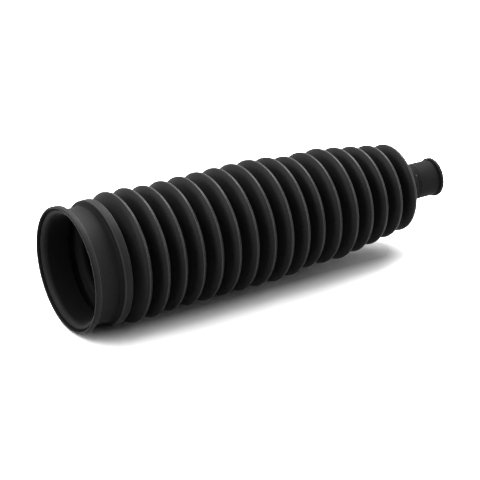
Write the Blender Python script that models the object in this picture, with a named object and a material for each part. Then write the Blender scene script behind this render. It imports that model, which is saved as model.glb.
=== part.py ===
"""Steering rack boot: a one-piece moulded rubber bellows that seals a steering rack to its tie rod.

The boot is one turned wall. It stands on its wide mouth, with the small end up: the Z axis is
the boot's own axis, z = 0 is the rim of the mouth, and every length is in metres.

From the mouth up it has a rim lip, a plain cuff that a band clamp grips, a stiff shoulder ring,
seventeen folds and a neck that a small clamp or a wire ring holds on the tie rod.
"""

import math

import bmesh
import bpy

# Mouth: the rim, the clamp seat behind it and its bore, which slides over the rack housing
RIM_RADIUS = 0.0294
RIM_WIDTH = 0.0029
RIM_EDGE = 0.0004
RIM_FACE = 0.0010
LEAD_IN_DEPTH = 0.0014
LEAD_IN_RADIUS = 0.0278
BORE_RADIUS = 0.0252
BORE_EDGE = 0.0010
SEAT_RADIUS = 0.0269
SEAT_WIDTH = 0.0099

# Shoulder ring between the clamp seat and the folds
SHOULDER_RISE = 0.0018
RING_RADIUS = 0.0292
RING_WIDTH = 0.0042
RING_ROUNDING = 0.0016

# Folds: one pitch and one wall all the way, in groups that step down towards the small end. Each
# fold is fuller on its front, which faces the mouth, than on its back
FOLD_WALL = 0.0013
FOLD_PITCH = 0.0095
FOLD_DEPTH = 0.0080
FIRST_GAP = 0.0074
FIRST_ROOT_GAP = 0.0014
CREST_FRONT_ROUNDING = 0.0032
CREST_BACK_ROUNDING = 0.0026
ROOT_ROUNDING = 0.0013
MOUTH_FOLDS = 2
MOUTH_FOLD_RISE = 0.0011
MOUTH_FOLD_STEP = 0.0002
BODY_FOLDS = 7
BODY_FOLD_RADIUS = 0.0295
JOIN_FOLD_RADIUS = 0.0287
WAIST_FOLDS = 3
WAIST_FOLD_RADIUS = 0.0272
TAIL_FOLDS = 4
TAIL_FOLD_STEP = 0.0014

# Neck: a stout base, the clamp seat and the end flange that keeps the clamp on
NECK_BASE_GAP = 0.0074
NECK_BASE_RADIUS = 0.0102
NECK_BASE_LENGTH = 0.0048
NECK_BASE_TAPER = 0.0007
NECK_STEP = 0.0005
NECK_RADIUS = 0.0085
NECK_LENGTH = 0.0122
NECK_BORE_RADIUS = 0.0068
FLANGE_RADIUS = 0.0093
FLANGE_WIDTH = 0.0018
FLANGE_EDGE = 0.0003

# Facets round the axis, and the rounding over which a crest gets two corners a side
FACETS = 28
LARGE_ROUNDING = 0.0018

RUBBER_COLOUR = (0.022, 0.022, 0.024, 1.0)
RUBBER_ROUGHNESS = 0.55

# Heights along the axis, each from the feature before it
SEAT_END = RIM_WIDTH + SEAT_WIDTH
RING_FRONT = SEAT_END + SHOULDER_RISE
RING_BACK = RING_FRONT + RING_WIDTH
FIRST_CREST = RING_BACK + FIRST_GAP


def crest_radii():
    """Outer radius of each fold's crest, from the mouth to the neck."""
    first = BODY_FOLD_RADIUS + MOUTH_FOLD_RISE
    radii = [first - MOUTH_FOLD_STEP * fold for fold in range(MOUTH_FOLDS)]
    radii += [BODY_FOLD_RADIUS] * BODY_FOLDS
    radii += [JOIN_FOLD_RADIUS]
    radii += [WAIST_FOLD_RADIUS] * WAIST_FOLDS
    radii += [WAIST_FOLD_RADIUS - TAIL_FOLD_STEP * (fold + 1) for fold in range(TAIL_FOLDS)]
    return radii


def fold_arcs():
    """The wall's rounded turns in order, as (z, r, rounding, is_crest) of each arc's centre.

    It starts at the shoulder ring's back edge and ends at the last root, beside the neck. A crest
    is two arcs that meet at its top, and each root lies midway between the crests' two sides.
    """
    radii = crest_radii()
    arcs = [(RING_BACK - RING_ROUNDING, RING_RADIUS - RING_ROUNDING, RING_ROUNDING, True)]
    for fold, radius in enumerate(radii):
        z = FIRST_CREST + FOLD_PITCH * fold
        root_z = z - (FOLD_PITCH + CREST_FRONT_ROUNDING - CREST_BACK_ROUNDING) / 2
        if fold == 0:
            root_z = RING_BACK + FIRST_ROOT_GAP
        root_radius = min(radii[max(fold - 1, 0)], radius, BODY_FOLD_RADIUS) - FOLD_DEPTH
        arcs.append((root_z, root_radius + ROOT_ROUNDING, ROOT_ROUNDING, False))
        arcs.append((z, radius - CREST_FRONT_ROUNDING, CREST_FRONT_ROUNDING, True))
        arcs.append((z, radius - CREST_BACK_ROUNDING, CREST_BACK_ROUNDING, True))
    last_z = arcs[-1][0] + NECK_BASE_GAP
    arcs.append((last_z, NECK_BASE_RADIUS + ROOT_ROUNDING, ROOT_ROUNDING, False))
    return arcs


def flank_lean(arc, following):
    """Angle between the axis and the straight flank that is tangent to two neighbouring arcs.

    The two arcs of a crest meet at its top, where the wall runs along the axis.
    """
    run = following[0] - arc[0]
    if run == 0:
        return 0
    rise = abs(following[1] - arc[1])
    if (following[1] > arc[1]) != following[3]:
        rise = -rise
    reach = math.hypot(run, rise)
    return math.atan2(rise, run) + math.asin((arc[2] + following[2]) / reach)


def arc_corners(z, r, rounding, is_crest, lean_in, lean_out, per_side):
    """Corners of a polygon drawn round one arc, with its end sides on the two flanks.

    Its middle side touches the arc's top, so a crest keeps a narrow flat crown. A side with no
    lean needs no corner, because the wall runs straight on.
    """
    side = 1 if is_crest else -1
    steps = [(-lean_in, k) for k in range(per_side, 0, -1)]
    steps += [(lean_out, k) for k in range(1, per_side + 1)]
    corners = []
    for lean, k in steps:
        if lean == 0:
            continue
        half_step = lean / (2 * per_side)
        angle = half_step * (2 * k - 1)
        reach = rounding / math.cos(half_step)
        corners.append((r + side * reach * math.cos(angle), z + reach * math.sin(angle)))
    return corners


def fold_wall(inside):
    """Points (r, z) along the outer or inner face of the folds, from the ring to the last root."""
    arcs = fold_arcs()
    leans = [0] + [flank_lean(a, b) for a, b in zip(arcs, arcs[1:])] + [0]
    points = []
    for index, (z, r, rounding, is_crest) in enumerate(arcs):
        if inside:
            rounding += -FOLD_WALL if is_crest else FOLD_WALL
        per_side = 2 if is_crest and rounding > LARGE_ROUNDING else 1
        points += arc_corners(z, r, rounding, is_crest, leans[index], leans[index + 1], per_side)
    return points


def outer_wall():
    """Points (r, z) up the outside, from the rim's face to the end of the neck."""
    last_root = fold_arcs()[-1][0]
    base_end = last_root + NECK_BASE_LENGTH
    neck_start = base_end + NECK_STEP
    neck_end = neck_start + NECK_LENGTH
    length = neck_end + FLANGE_WIDTH
    mouth = [
        (RIM_RADIUS - RIM_EDGE, 0),
        (RIM_RADIUS, RIM_EDGE),
        (RIM_RADIUS, RIM_WIDTH),
        (SEAT_RADIUS, RIM_WIDTH),
        (SEAT_RADIUS, SEAT_END),
        (SEAT_RADIUS + (RING_RADIUS - SEAT_RADIUS) / 3, SEAT_END + SHOULDER_RISE * 2 / 3),
        (RING_RADIUS, RING_FRONT),
    ]
    neck = [
        (NECK_BASE_RADIUS - NECK_BASE_TAPER, base_end),
        (NECK_RADIUS, neck_start),
        (NECK_RADIUS, neck_end),
        (FLANGE_RADIUS, neck_end),
        (FLANGE_RADIUS, length - FLANGE_EDGE),
        (FLANGE_RADIUS - FLANGE_EDGE, length),
    ]
    return mouth + fold_wall(inside=False) + neck


def inner_wall():
    """Points (r, z) up the inside, from the rim's face to the end of the neck."""
    last_root = fold_arcs()[-1][0]
    base_end = last_root + NECK_BASE_LENGTH
    length = base_end + NECK_STEP + NECK_LENGTH + FLANGE_WIDTH
    mouth = [
        (RIM_RADIUS - RIM_EDGE - RIM_FACE, 0),
        (LEAD_IN_RADIUS, LEAD_IN_DEPTH),
        (BORE_RADIUS + BORE_EDGE, LEAD_IN_DEPTH + BORE_EDGE),
        (BORE_RADIUS, LEAD_IN_DEPTH + BORE_EDGE * 3),
        (BORE_RADIUS, RING_FRONT),
        (RING_RADIUS - FOLD_WALL, RING_FRONT + FOLD_WALL),
    ]
    neck = [(NECK_BORE_RADIUS, base_end), (NECK_BORE_RADIUS, length)]
    return mouth + fold_wall(inside=True) + neck


def rubber():
    """Black synthetic rubber as it leaves the mould, matt with a low sheen."""
    material = bpy.data.materials.new("black_rubber")
    material.diffuse_color = RUBBER_COLOUR
    material.use_nodes = True
    shader = material.node_tree.nodes["Principled BSDF"]
    shader.inputs["Base Color"].default_value = RUBBER_COLOUR
    shader.inputs["Roughness"].default_value = RUBBER_ROUGHNESS
    shader.inputs["Metallic"].default_value = 0.0
    return material


def turned(name, profile, facets):
    """A closed profile of (r, z) points, turned round the Z axis by a Screw modifier."""
    mesh = bpy.data.meshes.new(name)
    work = bmesh.new()
    verts = [work.verts.new((r, 0, z)) for r, z in profile]
    for first, second in zip(verts, verts[1:] + verts[:1]):
        work.edges.new((first, second))
    work.to_mesh(mesh)
    work.free()
    part = bpy.data.objects.new(name, mesh)
    bpy.context.scene.collection.objects.link(part)
    screw = part.modifiers.new("turn", "SCREW")
    screw.axis = "Z"
    screw.steps = facets
    screw.render_steps = facets
    screw.use_merge_vertices = True
    screw.merge_threshold = 0.00001
    screw.use_smooth_shade = True
    return part


for stale in list(bpy.data.objects):
    bpy.data.objects.remove(stale, do_unlink=True)

# The profile runs down the outside, then up the inside, so that the faces point outwards
boot = turned("rack_boot", outer_wall()[::-1] + inner_wall(), FACETS)
boot.data.materials.append(rubber())
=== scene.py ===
"""Steering rack boot: a black rubber bellows, shown as it lies on a white table.

Z is the boot's own axis, from the wide mouth at z = 0 to the small end. The boot's sections are
in millimetres, and so is each name that ends in _MM. All else is in metres.
"""

import bpy
import numpy as np
from mathutils import Matrix, Vector


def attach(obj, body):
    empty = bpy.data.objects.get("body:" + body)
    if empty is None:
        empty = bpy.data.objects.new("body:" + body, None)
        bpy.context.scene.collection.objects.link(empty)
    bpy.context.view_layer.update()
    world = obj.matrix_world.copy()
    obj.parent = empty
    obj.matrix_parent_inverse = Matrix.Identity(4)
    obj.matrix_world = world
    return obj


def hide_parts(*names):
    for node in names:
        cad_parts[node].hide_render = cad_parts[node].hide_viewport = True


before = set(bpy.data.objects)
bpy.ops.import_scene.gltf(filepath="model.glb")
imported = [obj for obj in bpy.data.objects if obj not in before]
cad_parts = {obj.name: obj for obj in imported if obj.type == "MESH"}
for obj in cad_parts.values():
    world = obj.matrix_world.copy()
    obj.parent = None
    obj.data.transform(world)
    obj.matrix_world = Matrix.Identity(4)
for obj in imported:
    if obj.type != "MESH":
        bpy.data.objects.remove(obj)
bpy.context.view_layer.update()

# The mouth and its cuff
# The wide end slides over the rack housing, and a band clamp grips the plain land behind the rim.
# The rubber is moulded: a thin lip, a groove that the mould's parting ring leaves, and a soft bead
# round the bore. The corners of each section are rows of (radius, height, rounding).
RIM_RADIUS_MM = 29.4
RIM_WIDTH_MM = 2.9
LIP_INNER_MM = RIM_RADIUS_MM - 0.95
LIP_DEPTH_MM = 2.0
LAND_RADIUS_MM = 26.9
LAND_END_MM = 12.6
BORE_RADIUS_MM = 25.2
BEAD_DEPTH_MM = 1.1
RING_FRONT_MM = 14.6

cuff_outside = np.array(
    [
        (RIM_RADIUS_MM - 0.3, 0, 0.2),
        (RIM_RADIUS_MM, 0.4, 0.2),
        (RIM_RADIUS_MM, RIM_WIDTH_MM, 0.2),
        (LAND_RADIUS_MM, RIM_WIDTH_MM, 0.3),
        (LAND_RADIUS_MM, LAND_END_MM, 1.4),
    ]
)
cuff_inside = np.array(
    [
        (RIM_RADIUS_MM - 0.8, 0, 0.25),
        (LIP_INNER_MM, 0.8, 0.12),
        (LIP_INNER_MM, LIP_DEPTH_MM, 0.12),
        (LIP_INNER_MM - 0.6, LIP_DEPTH_MM, 0.12),
        (RIM_RADIUS_MM - 2.0, BEAD_DEPTH_MM, 0.35),
        (RIM_RADIUS_MM - 3.4, BEAD_DEPTH_MM + 1.1, 0.9),
        (BORE_RADIUS_MM, BEAD_DEPTH_MM + 2.8, 0.9),
        (BORE_RADIUS_MM, RING_FRONT_MM, 0.5),
    ]
)

# The shoulder ring
# A stiff raised ring stops the clamp from creeping up onto the folds. Its front rises from the
# land in a short curved wall, and its back edge drops straight into the first root.
RING_RADIUS_MM = 29.2
RING_BACK_MM = 18.8
RING_ROUNDING_MM = 0.7
WALL_MM = 1.3

ring_outside = np.array(
    [
        (RING_RADIUS_MM - 1.6, RING_FRONT_MM - 0.3, 0.6),
        (RING_RADIUS_MM - 0.1, RING_FRONT_MM, 0.25),
        (RING_RADIUS_MM, RING_FRONT_MM + 1.2, 0.6),
    ]
)
ring_inside = np.array([(RING_RADIUS_MM - WALL_MM, RING_FRONT_MM + WALL_MM, 0.6)])

# The folds
# The wall is one thickness all the way, and the folds step down towards the small end. Each fold
# is full on the side that faces the mouth and tighter on the other, and the mould's two halves
# leave a fine raised line round its crest.
FIRST_CREST_MM = 26.6
FOLD_PITCH_MM = 9.5
FOLD_DEPTH_MM = 8.0
CREST_RADII_MM = np.array([30.6, 30.4] + [29.5] * 7 + [28.7] + [27.2] * 3 + [25.8, 24.4, 23.0, 21.6])
FRONT_ROUNDING_MM = 6.0
EDGE_ROUNDING_MM = 0.3
EDGE_TURN = np.radians(35)
BACK_ROUNDING_MM = 1.6
ROOT_ROUNDING_MM = 1.1
ROOT_LIMIT_MM = 29.5
FIRST_ROOT_MM = 20.2
LAST_ROOT_MM = 185.6
NECK_BASE_RADIUS_MM = 10.2
MOULD_LINE_MM = np.array([(-0.07, -0.15), (0.0, -0.05), (0.0, 0.05), (-0.07, 0.15)])
EDGE_POINTS = 3

# Arcs of the crests' backs, with the ring's own first, then of their fronts, then of the roots
crest_z = FIRST_CREST_MM + FOLD_PITCH_MM * np.arange(len(CREST_RADII_MM))
top_radius = np.concatenate([[RING_RADIUS_MM], CREST_RADII_MM])
top_z = np.concatenate([[RING_BACK_MM - RING_ROUNDING_MM], crest_z])
back_rounding = np.where(top_z < crest_z[0], RING_ROUNDING_MM, BACK_ROUNDING_MM)
front_rounding = np.full(len(crest_z), FRONT_ROUNDING_MM)
front_reach = FRONT_ROUNDING_MM - EDGE_ROUNDING_MM
front_radius = CREST_RADII_MM - EDGE_ROUNDING_MM - front_reach * np.cos(EDGE_TURN)
front_z = crest_z + front_reach * np.sin(EDGE_TURN)
smaller = np.minimum(np.minimum(CREST_RADII_MM[:-1], CREST_RADII_MM[1:]), ROOT_LIMIT_MM)
above_root = np.concatenate([[ROOT_LIMIT_MM], smaller, [NECK_BASE_RADIUS_MM + FOLD_DEPTH_MM]])
root_radius = above_root - FOLD_DEPTH_MM
root_z = np.concatenate([[FIRST_ROOT_MM], crest_z[1:] - FOLD_PITCH_MM / 2, [LAST_ROOT_MM]])
root_rounding = np.full(len(root_z), ROOT_ROUNDING_MM)


def flank_turn(run, rise, roundings):
    """Angle that an arc turns before the straight flank to the next arc, which is tangent to both.

    It is the slope of the line between the two centres, plus asin(sum of the roundings / its length).
    """
    return np.arctan2(rise, run) + np.arcsin(roundings / np.hypot(run, rise))


back_turn = flank_turn(
    root_z - top_z,
    (top_radius - back_rounding) - (root_radius + root_rounding),
    back_rounding + root_rounding,
)
front_turn = flank_turn(
    front_z - root_z[:-1],
    front_radius - (root_radius + root_rounding)[:-1],
    front_rounding + root_rounding[:-1],
)


def arcs(radius, height, rounding, start, stop, count):
    """One row of points for each arc, with the angle a going from start to stop.

    A point lies at radius + rounding * cos a and height + |rounding| * sin a. A root's rounding is
    negative, because it is hollow.
    """
    share = np.linspace(0, 1, count)[None, :]
    angle = start[:, None] * (1 - share) + stop[:, None] * share
    r = radius[:, None] + rounding[:, None] * np.cos(angle)
    z = height[:, None] + np.abs(rounding)[:, None] * np.sin(angle)
    return np.stack([r, z], -1)


def fold_wall(wall, back_points, root_points, front_points):
    """The line (radius, height) from the ring's back edge to the last root, wall mm inside the skin.

    Each fold is its front arc, its back arc and the root after it, and the straight flanks lie
    between them. The skin has a tight edge and the mould's raised line between front and back.
    """
    outward = np.zeros(len(crest_z))
    edge = np.full(len(crest_z), EDGE_ROUNDING_MM)
    backs = arcs(
        top_radius - back_rounding,
        top_z,
        back_rounding - wall,
        0 * back_turn,
        back_turn,
        back_points,
    )
    roots = arcs(
        root_radius + root_rounding,
        root_z,
        -(root_rounding + wall),
        -back_turn,
        np.append(front_turn, 0),
        root_points,
    )
    crests = arcs(
        front_radius,
        front_z,
        front_rounding - wall,
        -front_turn,
        outward - EDGE_TURN,
        front_points,
    )
    if wall == 0:
        turn_in = outward - EDGE_TURN
        edges = arcs(CREST_RADII_MM - edge, crest_z, edge, turn_in, outward, EDGE_POINTS)
        ridge = MOULD_LINE_MM[None] + np.stack([CREST_RADII_MM, crest_z], -1)[:, None]
        crests = np.concatenate([crests, edges[:, 1:-1], ridge], 1)
    folds = np.concatenate([crests, backs[1:, 1:], roots[1:]], 1)
    return np.concatenate([backs[0], roots[0], folds.reshape(-1, 2)])


# The neck
# A stout base carries the last fold, and two fine rings mark where the mould's core split. A small
# clamp or a wire ring grips the neck, and the thin end flange keeps it on.
NECK_START_MM = 189.2
NECK_RADIUS_MM = 8.8
NECK_BORE_MM = 6.8
LENGTH_MM = 204.9
FLANGE_RADIUS_MM = 9.6
FLANGE_FRONT_MM = LENGTH_MM - 1.8
GROOVE_RADIUS_MM = NECK_RADIUS_MM - 0.35
SPLIT_RINGS_MM = np.array([190.8, 192.1])

split_ring = np.array([(0, -0.35, 0.1), (0.14, -0.12, 0.1), (0.14, 0.12, 0.1), (0, 0.35, 0.1)])
split_rings = split_ring[None] + SPLIT_RINGS_MM[:, None, None] * (0, 1, 0) + (NECK_RADIUS_MM, 0, 0)
neck_outside = np.concatenate(
    [
        [(NECK_RADIUS_MM + 1.0, NECK_START_MM, 0.4), (NECK_RADIUS_MM, NECK_START_MM + 0.5, 0.3)],
        split_rings.reshape(-1, 3),
        [
            (NECK_RADIUS_MM, FLANGE_FRONT_MM - 1.0, 0.5),
            (GROOVE_RADIUS_MM, FLANGE_FRONT_MM - 0.4, 0.3),
            (GROOVE_RADIUS_MM, FLANGE_FRONT_MM, 0.2),
            (FLANGE_RADIUS_MM, FLANGE_FRONT_MM + 0.3, 0.3),
            (FLANGE_RADIUS_MM, LENGTH_MM, 0.35),
        ],
    ]
)
neck_inside = np.array([(NECK_BORE_MM, NECK_START_MM, 2.0), (NECK_BORE_MM, LENGTH_MM, 0.3)])

# The moulded wall
# The boot is one piece of rubber. Its section is a closed line up the outside and down the inside,
# with each corner rounded as the mould is, and that line is turned round the axis. As it lies, its
# back arches up from the table by under half a millimetre.
ARC_POINTS = 4
LONGEST_ARC = 0.48
FACETS = 120
ARCH_MM = 0.4
ARCH_START_MM = 34
ARCH_LENGTH_MM = 50
TABLE_UP = Vector((1, -1, 0)).normalized()


def sharp(line):
    """The points of a line as corner rows (radius, height, rounding), with no rounding."""
    return np.column_stack([line, np.zeros(len(line))])


def rounded(corners):
    """The closed line through the corners, with an arc of each corner's own rounding in its place.

    The arc's ends lie on the two sides, rounding times tan(half the turn) from the corner, and are
    never further along than LONGEST_ARC times the shorter side. Between them the line follows the
    quadratic curve that those two points and the corner define. A sharp corner stays one point.
    """
    point = corners[:, :2]
    before = np.roll(point, 1, 0) - point
    after = np.roll(point, -1, 0) - point
    length_before = np.linalg.norm(before, axis=1)
    length_after = np.linalg.norm(after, axis=1)
    way_in = before / length_before[:, None]
    way_out = after / length_after[:, None]
    turn = np.pi - np.arccos(np.clip((way_in * way_out).sum(1), -1, 1))
    limit = LONGEST_ARC * np.minimum(length_before, length_after)
    reach = np.minimum(corners[:, 2] * np.tan(turn / 2), limit)
    start = (point + way_in * reach[:, None])[:, None, :]
    end = (point + way_out * reach[:, None])[:, None, :]
    t = np.linspace(0, 1, ARC_POINTS)[None, :, None]
    curve = (1 - t) ** 2 * start + 2 * t * (1 - t) * point[:, None, :] + t**2 * end
    kept = (corners[:, 2] > 0)[:, None] | (np.arange(ARC_POINTS) == 0)[None, :]
    return curve[kept]


def smooth_piece(name, points_mm, faces):
    """A smooth mesh object from points in millimetres, with its own origin at the scene's."""
    mesh = bpy.data.meshes.new(name)
    mesh.from_pydata(points_mm / 1000, [], faces)
    mesh.shade_smooth()
    piece = bpy.data.objects.new(name, mesh)
    bpy.context.scene.collection.objects.link(piece)
    return piece


def turned(name, line, facets):
    """The closed line of (radius, height), turned round Z in equal steps.

    Grid point (i, j) lies at radius[i] * (cos a, sin a) and height[i], with a = 2 pi j / facets.
    The axis is then moved away from the table by ARCH_MM * (3 s^2 - 2 s^3), where s runs from 0 to 1
    along ARCH_LENGTH_MM.
    """
    angle = 2 * np.pi * np.arange(facets) / facets
    radius, height = line[:, :1], line[:, 1:]
    s = np.clip((height - ARCH_START_MM) / ARCH_LENGTH_MM, 0, 1)
    lift = ARCH_MM * (3 * s**2 - 2 * s**3)
    x = radius * np.cos(angle) + lift * TABLE_UP.x
    y = radius * np.sin(angle) + lift * TABLE_UP.y
    points = np.stack([x, y, np.broadcast_to(height, x.shape)], -1).reshape(-1, 3)
    i, j = np.meshgrid(np.arange(len(line)), np.arange(facets), indexing="ij")
    up = (i + 1) % len(line)
    on = (j + 1) % facets
    faces = np.stack([i * facets + j, i * facets + on, up * facets + on, up * facets + j], -1)
    return smooth_piece(name, points, faces.reshape(-1, 4))


section = rounded(
    np.concatenate(
        [
            cuff_outside,
            ring_outside,
            sharp(fold_wall(0.0, back_points=8, root_points=5, front_points=7)),
            neck_outside,
            neck_inside[::-1],
            sharp(fold_wall(WALL_MM, back_points=4, root_points=5, front_points=5))[::-1],
            ring_inside[::-1],
            cuff_inside[::-1],
        ]
    )
)
boot = turned("boot_wall", section, FACETS)

# The mesh carries two numbers for the colour and roughness. The first darkens the colour and adds
# roughness: near 1 it is painted shade deep in the roots, on the core's side and at the ring's foot,
# and it also darkens the lip's groove and the neck, the end flange less. Below 0, on the polished
# backs of the crests, it only lowers the roughness. The second is 1 on the fine lines where the
# mould closes and on edges of the lip and the ring, where it paints a highlight.
PAINTED_SHADE_BORE_MM = (2.4, 3.6)
PAINTED_SHADE_ROOT_MM = (2.5, 7.0)
DARK_NECK_FROM_MM = 188
DARK_NECK = 0.9
BRIGHT_FLANGE_FROM_MM = FLANGE_FRONT_MM + 0.1
DARK_FLANGE = 0.2
LIP_GROOVE_MM = (RIM_RADIUS_MM - 1.2, 1.4)
LIP_GROOVE_REACH_MM = 0.7
RING_FOOT_MM = (LAND_RADIUS_MM + 0.3, LAND_END_MM + 0.6)
RING_FOOT_REACH_MM = 1.5
POLISH = 0.9
POLISH_ANGLE = np.radians(25)
POLISH_REACH_MM = 0.5
HIGHLIGHT_REACH_MM = 0.14

crest_backs = np.column_stack(
    [
        CREST_RADII_MM - BACK_ROUNDING_MM * (1 - np.cos(POLISH_ANGLE)),
        crest_z + BACK_ROUNDING_MM * np.sin(POLISH_ANGLE),
    ]
)
# Painted highlights: the skin is lighter on the crests' mould lines and on edges of the lip and ring.
painted_highlight_lines = np.concatenate(
    [
        np.column_stack([CREST_RADII_MM, crest_z]),
        [(RIM_RADIUS_MM - 0.8, 0), (RIM_RADIUS_MM - 0.6, 0), (RIM_RADIUS_MM, RIM_WIDTH_MM)],
        [(RING_RADIUS_MM, RING_FRONT_MM), (RING_RADIUS_MM, RING_FRONT_MM + 0.3)],
    ]
)


def near(spots, reach):
    """For each point of the section, exp(-(d / reach)^2), with d its distance to the nearest spot."""
    distance = np.linalg.norm(section[:, None, :] - np.array(spots)[None, :, :], axis=2).min(1)
    return np.exp(-((distance / reach) ** 2))


height = section[:, 1]
core_side = np.arange(len(section)) > np.argmax(height)
below_crest = np.interp(height, crest_z, CREST_RADII_MM) - section[:, 0]
on_neck = height > DARK_NECK_FROM_MM
# Painted shade: the skin darkens deeper in each root, from 2.5 mm below the crests' line.
painted_shade_outside = np.interp(below_crest, PAINTED_SHADE_ROOT_MM, (0, 1)) * (height > RING_BACK_MM)
painted_shade_outside = np.where(on_neck, DARK_NECK, painted_shade_outside)
painted_shade_outside = np.where(height > BRIGHT_FLANGE_FROM_MM, DARK_FLANGE, painted_shade_outside)
# Painted shade in the corner at the ring's foot; the backs of the crests only get less roughness.
painted_shade_outside += near([RING_FOOT_MM], RING_FOOT_REACH_MM) - POLISH * near(crest_backs, POLISH_REACH_MM)
# Painted shade: the whole inside darkens, from a little way into the bore.
painted_shade_inside = np.where(on_neck, DARK_NECK, np.interp(height, PAINTED_SHADE_BORE_MM, (0, 1)))
# The lip's groove is darker as well.
painted_shade_and_polish = np.where(core_side, painted_shade_inside, painted_shade_outside) + near([LIP_GROOVE_MM], LIP_GROOVE_REACH_MM)
for name, values in (("painted_shade_and_polish", painted_shade_and_polish), ("painted_highlight", near(painted_highlight_lines, HIGHLIGHT_REACH_MM))):
    attribute = boot.data.attributes.new(name, "FLOAT", "POINT")
    attribute.data.foreach_set("value", np.repeat(values, FACETS))

# Black chloroprene rubber, moulded in a steel mould and unpainted: matt, with the mould's fine
# grain, a thin pale bloom in patches and a slight shine on the backs of the crests. Shade is painted
# into its roots, its inside and the ring's foot, the lip's groove and the neck are darker, and
# highlights are painted onto its mould lines and edges. The mould's spark-eroded grain is about
# 0.1 mm; it is drawn at 0.6 mm so that it shows.
BLOOM_MM = 16.667
GRAIN_MM = 0.5882
GRAIN_DEPTH_MM = 0.15
GRAIN_STRENGTH = 0.6
NOISE_LOW = 0.3
NOISE_HIGH = 0.7
SKIN = "#0e0e0f"
BLOOM_SKIN = "#141415"
GRAIN_SKIN = "#232324"
PAINTED_HIGHLIGHT_SKIN = "#606062"
PAINTED_SHADE_SKIN = "#040404"
GRAIN_SHARE = 0.8
ROUGHNESS = (0.46, 0.54)
DULL_ROUGHNESS = 0.3
RUBBER_SHADER = {
    "IOR": 1.52,
    "Specular IOR Level": 0.17,
    "Sheen Weight": 0.14,
    "Sheen Roughness": 0.25,
}


def linear(hex_colour):
    """An sRGB colour, such as "#262628", as the linear RGBA that a shader takes."""
    shares = [int(hex_colour[k : k + 2], 16) / 255 for k in (1, 3, 5)]
    return [s / 12.92 if s <= 0.04045 else ((s + 0.055) / 1.055) ** 2.4 for s in shares] + [1.0]


def add_node(tree, kind, settings, inputs):
    """Adds one node, with its own settings, and gives each input a value or another node's output."""
    node = tree.nodes.new(kind)
    for name, value in settings.items():
        setattr(node, name, value)
    for name, value in inputs.items():
        if isinstance(value, bpy.types.NodeSocket):
            tree.links.new(value, node.inputs[name])
        else:
            node.inputs[name].default_value = value
    return node


def chloroprene_rubber():
    """The material: near-black with faint bloom and fine grain, painted shade inside and in the
    hollows, and painted highlights on mould lines and edges.

    The colour starts as the skin's, and each layer is mixed over it by its own share.
    """
    material = bpy.data.materials.new("moulded_chloroprene_rubber")
    material.use_nodes = True
    tree = material.node_tree
    shader = tree.nodes["Principled BSDF"]
    place = add_node(tree, "ShaderNodeTexCoord", {}, {}).outputs["Object"]
    painted_shade_and_polish = add_node(tree, "ShaderNodeAttribute", {"attribute_name": "painted_shade_and_polish"}, {}).outputs["Fac"]
    painted_highlight = add_node(tree, "ShaderNodeAttribute", {"attribute_name": "painted_highlight"}, {}).outputs["Fac"]
    patches = {"Vector": place, "Scale": 1000 / BLOOM_MM, "Detail": 4}
    bloom = add_node(tree, "ShaderNodeTexNoise", {}, patches).outputs["Fac"]
    pits = {"Vector": place, "Scale": 1000 / GRAIN_MM, "Detail": 2}
    grain = add_node(tree, "ShaderNodeTexNoise", {}, pits).outputs["Fac"]
    shares = []
    for noise, low, high in ((bloom, 0, 1), (grain, 0, GRAIN_SHARE), (bloom, *ROUGHNESS)):
        limits = {"From Min": NOISE_LOW, "From Max": NOISE_HIGH, "To Min": low, "To Max": high}
        spread = add_node(tree, "ShaderNodeMapRange", {}, {"Value": noise, **limits})
        shares.append(spread.outputs["Result"])
    bloom_share, grain_share, bloom_roughness = shares
    colour = linear(SKIN)
    # The last two layers are painted light and shade: a highlight on mould lines and edges, and shade
    # in the hollows.
    for share, layer in (
        (bloom_share, BLOOM_SKIN),
        (grain_share, GRAIN_SKIN),
        (painted_highlight, PAINTED_HIGHLIGHT_SKIN),
        (painted_shade_and_polish, PAINTED_SHADE_SKIN),
    ):
        mixed = {"Factor": share, "A": colour, "B": linear(layer)}
        colour = add_node(tree, "ShaderNodeMix", {"data_type": "RGBA"}, mixed).outputs["Result"]
    rough = add_node(
        tree,
        "ShaderNodeMath",
        {"operation": "MULTIPLY_ADD"},
        {0: painted_shade_and_polish, 1: DULL_ROUGHNESS, 2: bloom_roughness},
    )
    bump = add_node(
        tree,
        "ShaderNodeBump",
        {},
        {"Height": grain, "Strength": GRAIN_STRENGTH, "Distance": GRAIN_DEPTH_MM / 1000},
    )
    tree.links.new(colour, shader.inputs["Base Color"])
    tree.links.new(rough.outputs["Value"], shader.inputs["Roughness"])
    tree.links.new(bump.outputs["Normal"], shader.inputs["Normal"])
    for name, value in RUBBER_SHADER.items():
        shader.inputs[name].default_value = value
    return material


rubber = chloroprene_rubber()
boot.data.materials.append(rubber)
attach(boot, "root")
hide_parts("rack_boot")

# The gate mark
# The rubber is injected at one point of the neck's base. Tearing the sprue off leaves a small nub
# there, of the same rubber, which is painted light all over as a highlight.
NUB_RADIUS_MM = 9.7
NUB_HEIGHT_MM = 189.3
NUB_ANGLE = np.radians(3)
NUB_HALF_MM = (0.45, 0.55, 0.45)
NUB_STEPS = 16


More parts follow.
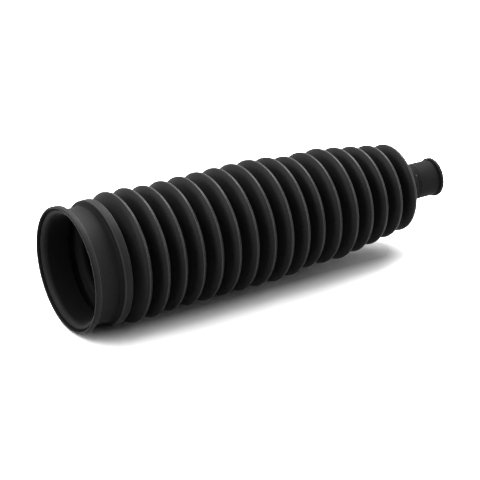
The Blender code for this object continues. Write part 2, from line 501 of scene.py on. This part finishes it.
def nub(name):
    """A closed rounded nub, on a grid of the angles a (from pole to pole) and b (round the poles).

    A point lies at centre + half-size * (sin a cos b, sin a sin b, cos a). Each pole is one point.
    """
    a = np.pi * np.arange(1, NUB_STEPS)[:, None] / NUB_STEPS
    b = 2 * np.pi * np.arange(NUB_STEPS)[None, :] / NUB_STEPS
    rings = np.stack([np.sin(a) * np.cos(b), np.sin(a) * np.sin(b), np.cos(a) + 0 * b], -1)
    ball = np.concatenate([rings.reshape(-1, 3), [(0, 0, 1), (0, 0, -1)]])
    way = np.array([np.cos(NUB_ANGLE), np.sin(NUB_ANGLE), 0])
    centre = way * NUB_RADIUS_MM + (0, 0, NUB_HEIGHT_MM) + ARCH_MM * np.array(TABLE_UP)
    i, j = np.meshgrid(np.arange(NUB_STEPS - 2), np.arange(NUB_STEPS), indexing="ij")
    here = i * NUB_STEPS + j
    on = i * NUB_STEPS + (j + 1) % NUB_STEPS
    sides = np.stack([here, here + NUB_STEPS, on + NUB_STEPS, on], -1).reshape(-1, 4)
    top, bottom = len(ball) - 2, len(ball) - 1
    last = (NUB_STEPS - 2) * NUB_STEPS
    caps = [(top, p, q) for p, q in zip(here[0], on[0])]
    caps += [(bottom, last + q, last + p) for p, q in zip(here[0], on[0])]
    piece = smooth_piece(name, centre + ball * NUB_HALF_MM, sides.tolist() + caps)
    # Painted highlight: the whole nub takes the light mould-line colour.
    attribute = piece.data.attributes.new("painted_highlight", "FLOAT", "POINT")
    attribute.data.foreach_set("value", np.ones(len(ball)))
    return piece


gate_mark = nub("gate_mark")
gate_mark.data.materials.append(rubber)
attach(gate_mark, "root")

# The table
# The photographed boot lies on its side, so the table's top is a plane along the boot's axis that
# touches the largest folds. It is white laminate, and it shows from above only: the views from
# below look through it.
TABLE_HALF = 6.0
TABLE_WHITE = 0.8
WHITE = 1.0
REST_LINE_MM = (24, 167)
SHADOW_EDGE_MM = (10, 24)
SEEN_SHADE_TO_WHITE = (0.9, 3.0)
WIDEST_MM = float(CREST_RADII_MM.max())


def by_ray(tree, lighting, mirrored, seen):
    """One value for rays that only light, one for reflected or refracted ones, one for the camera's."""
    path = add_node(tree, "ShaderNodeLightPath", {}, {}).outputs
    mirror = add_node(
        tree,
        "ShaderNodeMath",
        {"operation": "MAXIMUM"},
        {0: path["Is Glossy Ray"], 1: path["Is Transmission Ray"]},
    )
    value = lighting
    for ray, other in ((mirror.outputs["Value"], mirrored), (path["Is Camera Ray"], seen)):
        chosen = {"Value": ray, "To Min": value, "To Max": other}
        value = add_node(tree, "ShaderNodeMapRange", {}, chosen).outputs["Result"]
    return value


def white_laminate():
    """The material: a matt white top that stays white to the camera, and clear from below.

    Near the line that the boot rests on, the colour to the camera is lower, a painted shade that
    deepens the boot's shadow there. Away from it the colour is over 1 to the camera, so that only
    the boot's shadow shows on the white.
    """
    material = bpy.data.materials.new("matt_white_laminate")
    material.use_nodes = True
    tree = material.node_tree
    tree.nodes.remove(tree.nodes["Principled BSDF"])
    side = add_node(tree, "ShaderNodeNewGeometry", {}, {}).outputs["Backfacing"]
    place = add_node(tree, "ShaderNodeTexCoord", {}, {}).outputs["Object"]
    height = add_node(tree, "ShaderNodeSeparateXYZ", {}, {"Vector": place}).outputs["Z"]
    ends = {"Min": REST_LINE_MM[0] / 1000, "Max": REST_LINE_MM[1] / 1000}
    along = add_node(tree, "ShaderNodeClamp", {}, {"Value": height, **ends}).outputs["Result"]
    foot = -TABLE_UP * WIDEST_MM / 1000
    nearest = add_node(tree, "ShaderNodeCombineXYZ", {}, {"X": foot.x, "Y": foot.y, "Z": along})
    away = add_node(
        tree,
        "ShaderNodeVectorMath",
        {"operation": "DISTANCE"},
        {0: place, 1: nearest.outputs["Vector"]},
    )
    # Painted shade: to the camera the table is darker near the line that the boot rests on.
    seen = add_node(
        tree,
        "ShaderNodeMapRange",
        {},
        {
            "Value": away.outputs["Value"],
            "From Min": SHADOW_EDGE_MM[0] / 1000,
            "From Max": SHADOW_EDGE_MM[1] / 1000,
            "To Min": SEEN_SHADE_TO_WHITE[0],
            "To Max": SEEN_SHADE_TO_WHITE[1],
        },
    )
    shade = by_ray(tree, TABLE_WHITE, WHITE, seen.outputs["Result"])
    matt = add_node(tree, "ShaderNodeBsdfDiffuse", {}, {"Color": shade}).outputs["BSDF"]
    clear = add_node(tree, "ShaderNodeBsdfTransparent", {}, {}).outputs["BSDF"]
    both = add_node(tree, "ShaderNodeMixShader", {}, {0: side, 1: matt, 2: clear})
    tree.links.new(both.outputs["Shader"], tree.nodes["Material Output"].inputs["Surface"])
    return material


along = Vector((0, 0, TABLE_HALF))
across = along.cross(TABLE_UP)
below = -TABLE_UP * (WIDEST_MM / 1000)
table_mesh = bpy.data.meshes.new("table_top")
table_corners = [below + along * a + across * b for a, b in ((-1, -1), (-1, 1), (1, 1), (1, -1))]
table_mesh.from_pydata(table_corners, [], [(0, 1, 2, 3)])
table_mesh.materials.append(white_laminate())
table_top = bpy.data.objects.new("table_top", table_mesh)
bpy.context.scene.collection.objects.link(table_top)

# The light
# Soft boxes stand round the table a metre away, most of them behind the boot and to its right, as
# the camera sees it, so the camera's place comes first here. A level of 1 lights a white card that
# faces the box up to white.
EYE = Vector((0.7884, 0.2427, -0.3609))
LOOKS_AT = Vector((-0.0057, 0.00483, 0.09256))
FORWARD = (LOOKS_AT - EYE).normalized()
BOX_SIZE = 0.5
BOX_AWAY = 1.0
WATTS_AT_LEVEL_ONE = 9.9
BOX_CENTRE = Vector((0, 0, 0.1))
ROOM_FILL = 0.01

# Each row: degrees round the table from the camera's side by way of its right, degrees up, level
SOFT_BOXES = [
    (120, 45, 0.20),
    (150, 45, 0.66),
    (180, 45, 0.22),
    (240, 45, 0.15),
    (300, 45, 0.35),
    (100, 18, 0.42),
    (145, 18, 0.11),
    (310, 18, 0.15),
]

table_forward = (FORWARD - FORWARD.dot(TABLE_UP) * TABLE_UP).normalized()
table_right = table_forward.cross(TABLE_UP)
for around, rise, level in SOFT_BOXES:
    a, e = np.radians((around, rise))
    flat_way = float(np.sin(a)) * table_right - float(np.cos(a)) * table_forward
    way = float(np.cos(e)) * flat_way + float(np.sin(e)) * TABLE_UP
    box_light = bpy.data.lights.new("soft_box", "AREA")
    box_light.size = BOX_SIZE
    box_light.energy = WATTS_AT_LEVEL_ONE * level
    soft_box = bpy.data.objects.new("soft_box", box_light)
    soft_box.location = BOX_CENTRE + way * BOX_AWAY
    soft_box.rotation_mode = "QUATERNION"
    soft_box.rotation_quaternion = (-way).to_track_quat("-Z", "Y")
    bpy.context.scene.collection.objects.link(soft_box)

# The room is white to the camera and in reflections, and lights the boot only faintly
room = bpy.data.worlds.new("white_room")
room.use_nodes = True
bpy.context.scene.world = room
backdrop = room.node_tree.nodes["Background"]
backdrop.inputs["Color"].default_value = (1, 1, 1, 1)
strength = by_ray(room.node_tree, ROOM_FILL, WHITE, WHITE)
room.node_tree.links.new(strength, backdrop.inputs["Strength"])

# The camera
# It stands 0.94 m from the boot and looks down on the table at 25 degrees, past the mouth. From
# there a long lens fills the picture with the boot.
LENS_MM = 150
CLIP_END = 50

lens = bpy.data.cameras.new("camera")
lens.lens = LENS_MM
lens.clip_end = CLIP_END
camera = bpy.data.objects.new("camera", lens)
right = FORWARD.cross(TABLE_UP).normalized()
up = right.cross(FORWARD)
camera.matrix_world = Matrix.Translation(EYE) @ Matrix((right, up, -FORWARD)).transposed().to_4x4()
bpy.context.scene.collection.objects.link(camera)
bpy.context.scene.camera = camera
bpy.context.scene.view_settings.view_transform = "Standard"
